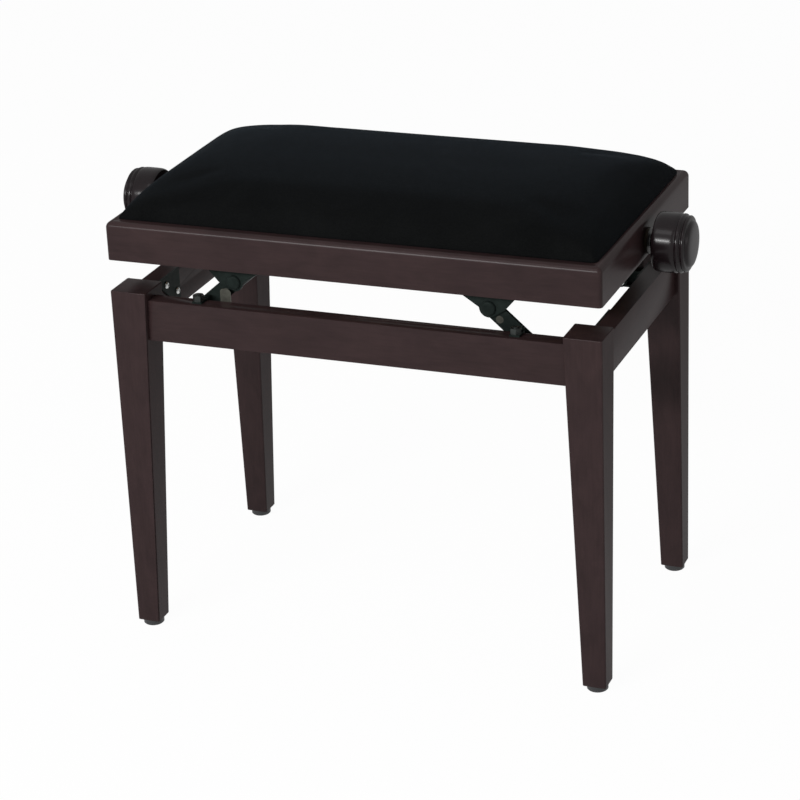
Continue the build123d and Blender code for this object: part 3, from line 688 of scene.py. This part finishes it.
class BENCH_OT_stage(bpy.types.Operator):
    """Pale floor, soft studio light and the camera"""
    bl_idname = "bench.stage"
    bl_label = "Stage"

    def background(self, tree, out, lit):
        """Show white to camera, glossy and transmission rays, and what is lit to the others."""
        path = tree.nodes.new("ShaderNodeLightPath")
        camera_or_glossy = tree.nodes.new("ShaderNodeMath")
        seen = tree.nodes.new("ShaderNodeMath")
        for node in (camera_or_glossy, seen):
            node.operation = "MAXIMUM"
        tree.links.new(path.outputs["Is Camera Ray"], camera_or_glossy.inputs[0])
        tree.links.new(path.outputs["Is Glossy Ray"], camera_or_glossy.inputs[1])
        tree.links.new(camera_or_glossy.outputs[0], seen.inputs[0])
        tree.links.new(path.outputs["Is Transmission Ray"], seen.inputs[1])
        mix = tree.nodes.new("ShaderNodeMixShader")
        tree.links.new(seen.outputs[0], mix.inputs[0])
        tree.links.new(lit, mix.inputs[1])
        tree.links.new(mix.outputs[0], out)
        return mix.inputs[2]

    def world(self, scene):
        """Soft even light, seen as plain white."""
        world = bpy.data.worlds.new("studio")
        scene.world = world
        world.use_nodes = True
        tree = world.node_tree
        tree.nodes.clear()
        out = tree.nodes.new("ShaderNodeOutputWorld")
        soft, white = tree.nodes.new("ShaderNodeBackground"), tree.nodes.new("ShaderNodeBackground")
        for sky, strength in ((soft, SKY_LIGHT), (white, 1.0)):
            sky.inputs["Color"].default_value = (1, 1, 1, 1)
            sky.inputs["Strength"].default_value = strength
        tree.links.new(white.outputs[0], self.background(tree, out.inputs["Surface"], soft.outputs[0]))

    def floor(self):
        """White paper that keeps the bench's shadow."""
        bm = bmesh.new()
        bmesh.ops.create_grid(bm, x_segments=1, y_segments=1, size=FLOOR_REACH)
        mesh = bpy.data.meshes.new("floor")
        bm.to_mesh(mesh)
        bm.free()
        floor = bpy.data.objects.new("floor", mesh)
        bpy.context.scene.collection.objects.link(floor)
        material = bpy.data.materials.new("studio_floor")
        material.use_nodes = True
        tree = material.node_tree
        tree.nodes.clear()
        out = tree.nodes.new("ShaderNodeOutputMaterial")
        paper, glow = tree.nodes.new("ShaderNodeBsdfDiffuse"), tree.nodes.new("ShaderNodeEmission")
        paper.inputs["Color"].default_value = (FLOOR_PAPER, FLOOR_PAPER, FLOOR_PAPER, 1)
        glow.inputs["Strength"].default_value = 1.0
        blend = tree.nodes.new("ShaderNodeMixShader")
        blend.inputs[0].default_value = FLOOR_GLOW
        tree.links.new(paper.outputs[0], blend.inputs[1])
        tree.links.new(glow.outputs[0], blend.inputs[2])
        tree.links.new(blend.outputs[0], self.background(tree, out.inputs["Surface"], paper.outputs[0]))
        mesh.materials.append(material)

    def lamp(self, name, place, size, power):
        """Rectangular lamp turned towards the bench."""
        light = bpy.data.lights.new(name, "AREA")
        light.shape = "RECTANGLE"
        light.size, light.size_y = size
        light.energy = power
        obj = bpy.data.objects.new(name, light)
        bpy.context.scene.collection.objects.link(obj)
        obj.location = place
        aim = Vector(LAMP_TARGET) - Vector(place)
        obj.rotation_euler = aim.to_track_quat("-Z", "Y").to_euler()

    def camera(self, scene):
        """Camera in front of the bench, to its right and above it."""
        data = bpy.data.cameras.new("camera")
        data.sensor_width = CAMERA_SENSOR
        data.lens = CAMERA_LENS
        data.clip_end = CAMERA_REACH
        obj = bpy.data.objects.new("camera", data)
        scene.collection.objects.link(obj)
        level = math.cos(CAMERA_ELEVATION)
        back = Vector((math.sin(CAMERA_AZIMUTH) * level, -math.cos(CAMERA_AZIMUTH) * level,
                       math.sin(CAMERA_ELEVATION)))
        right = Vector((math.cos(CAMERA_AZIMUTH), math.sin(CAMERA_AZIMUTH), 0))
        up = back.cross(right)
        across = math.cos(CAMERA_ROLL) * right - math.sin(CAMERA_ROLL) * up
        upright = math.sin(CAMERA_ROLL) * right + math.cos(CAMERA_ROLL) * up
        turn = Matrix((across, upright, back)).transposed().to_4x4()
        obj.matrix_world = Matrix.Translation(CAMERA_PLACE) @ turn
        scene.camera = obj

    def execute(self, context):
        scene = context.scene
        scene.view_settings.view_transform = "Standard"
        self.world(scene)
        self.floor()
        for name, place, size, power in LAMPS:
            self.lamp(name, place, size, power)
        self.camera(scene)
        return {"FINISHED"}


class BENCH_PT_panel(bpy.types.Panel):
    """Lists the pieces of the bench"""
    bl_idname = "BENCH_PT_panel"
    bl_label = "Bench"
    bl_space_type = "VIEW_3D"
    bl_region_type = "UI"
    bl_category = "Bench"

    def draw(self, context):
        for group in (context.scene.bench_sizes, context.scene.bench_colours):
            for key in group.__annotations__:
                self.layout.prop(group, key)
        for step in STEPS:
            self.layout.operator(step.bl_idname)


STEPS = (BENCH_OT_finishes, BENCH_OT_wood_frame, BENCH_OT_knobs, BENCH_OT_cushion, BENCH_OT_fixings,
         BENCH_OT_stage)
CLASSES = (BenchColours, BenchSizes, *STEPS, BENCH_PT_panel)


def register():
    for cls in CLASSES:
        bpy.utils.register_class(cls)
    bpy.types.Scene.bench_colours = PointerProperty(type=BenchColours)
    bpy.types.Scene.bench_sizes = PointerProperty(type=BenchSizes)


def unregister():
    del bpy.types.Scene.bench_sizes
    del bpy.types.Scene.bench_colours
    for cls in reversed(CLASSES):
        bpy.utils.unregister_class(cls)


def main():
    register()
    bpy.ops.bench.finishes()
    bpy.ops.bench.wood_frame()
    bpy.ops.bench.knobs()
    bpy.ops.bench.cushion()
    bpy.ops.bench.fixings()
    bpy.ops.bench.stage()


if __name__ == "__main__":
    main()
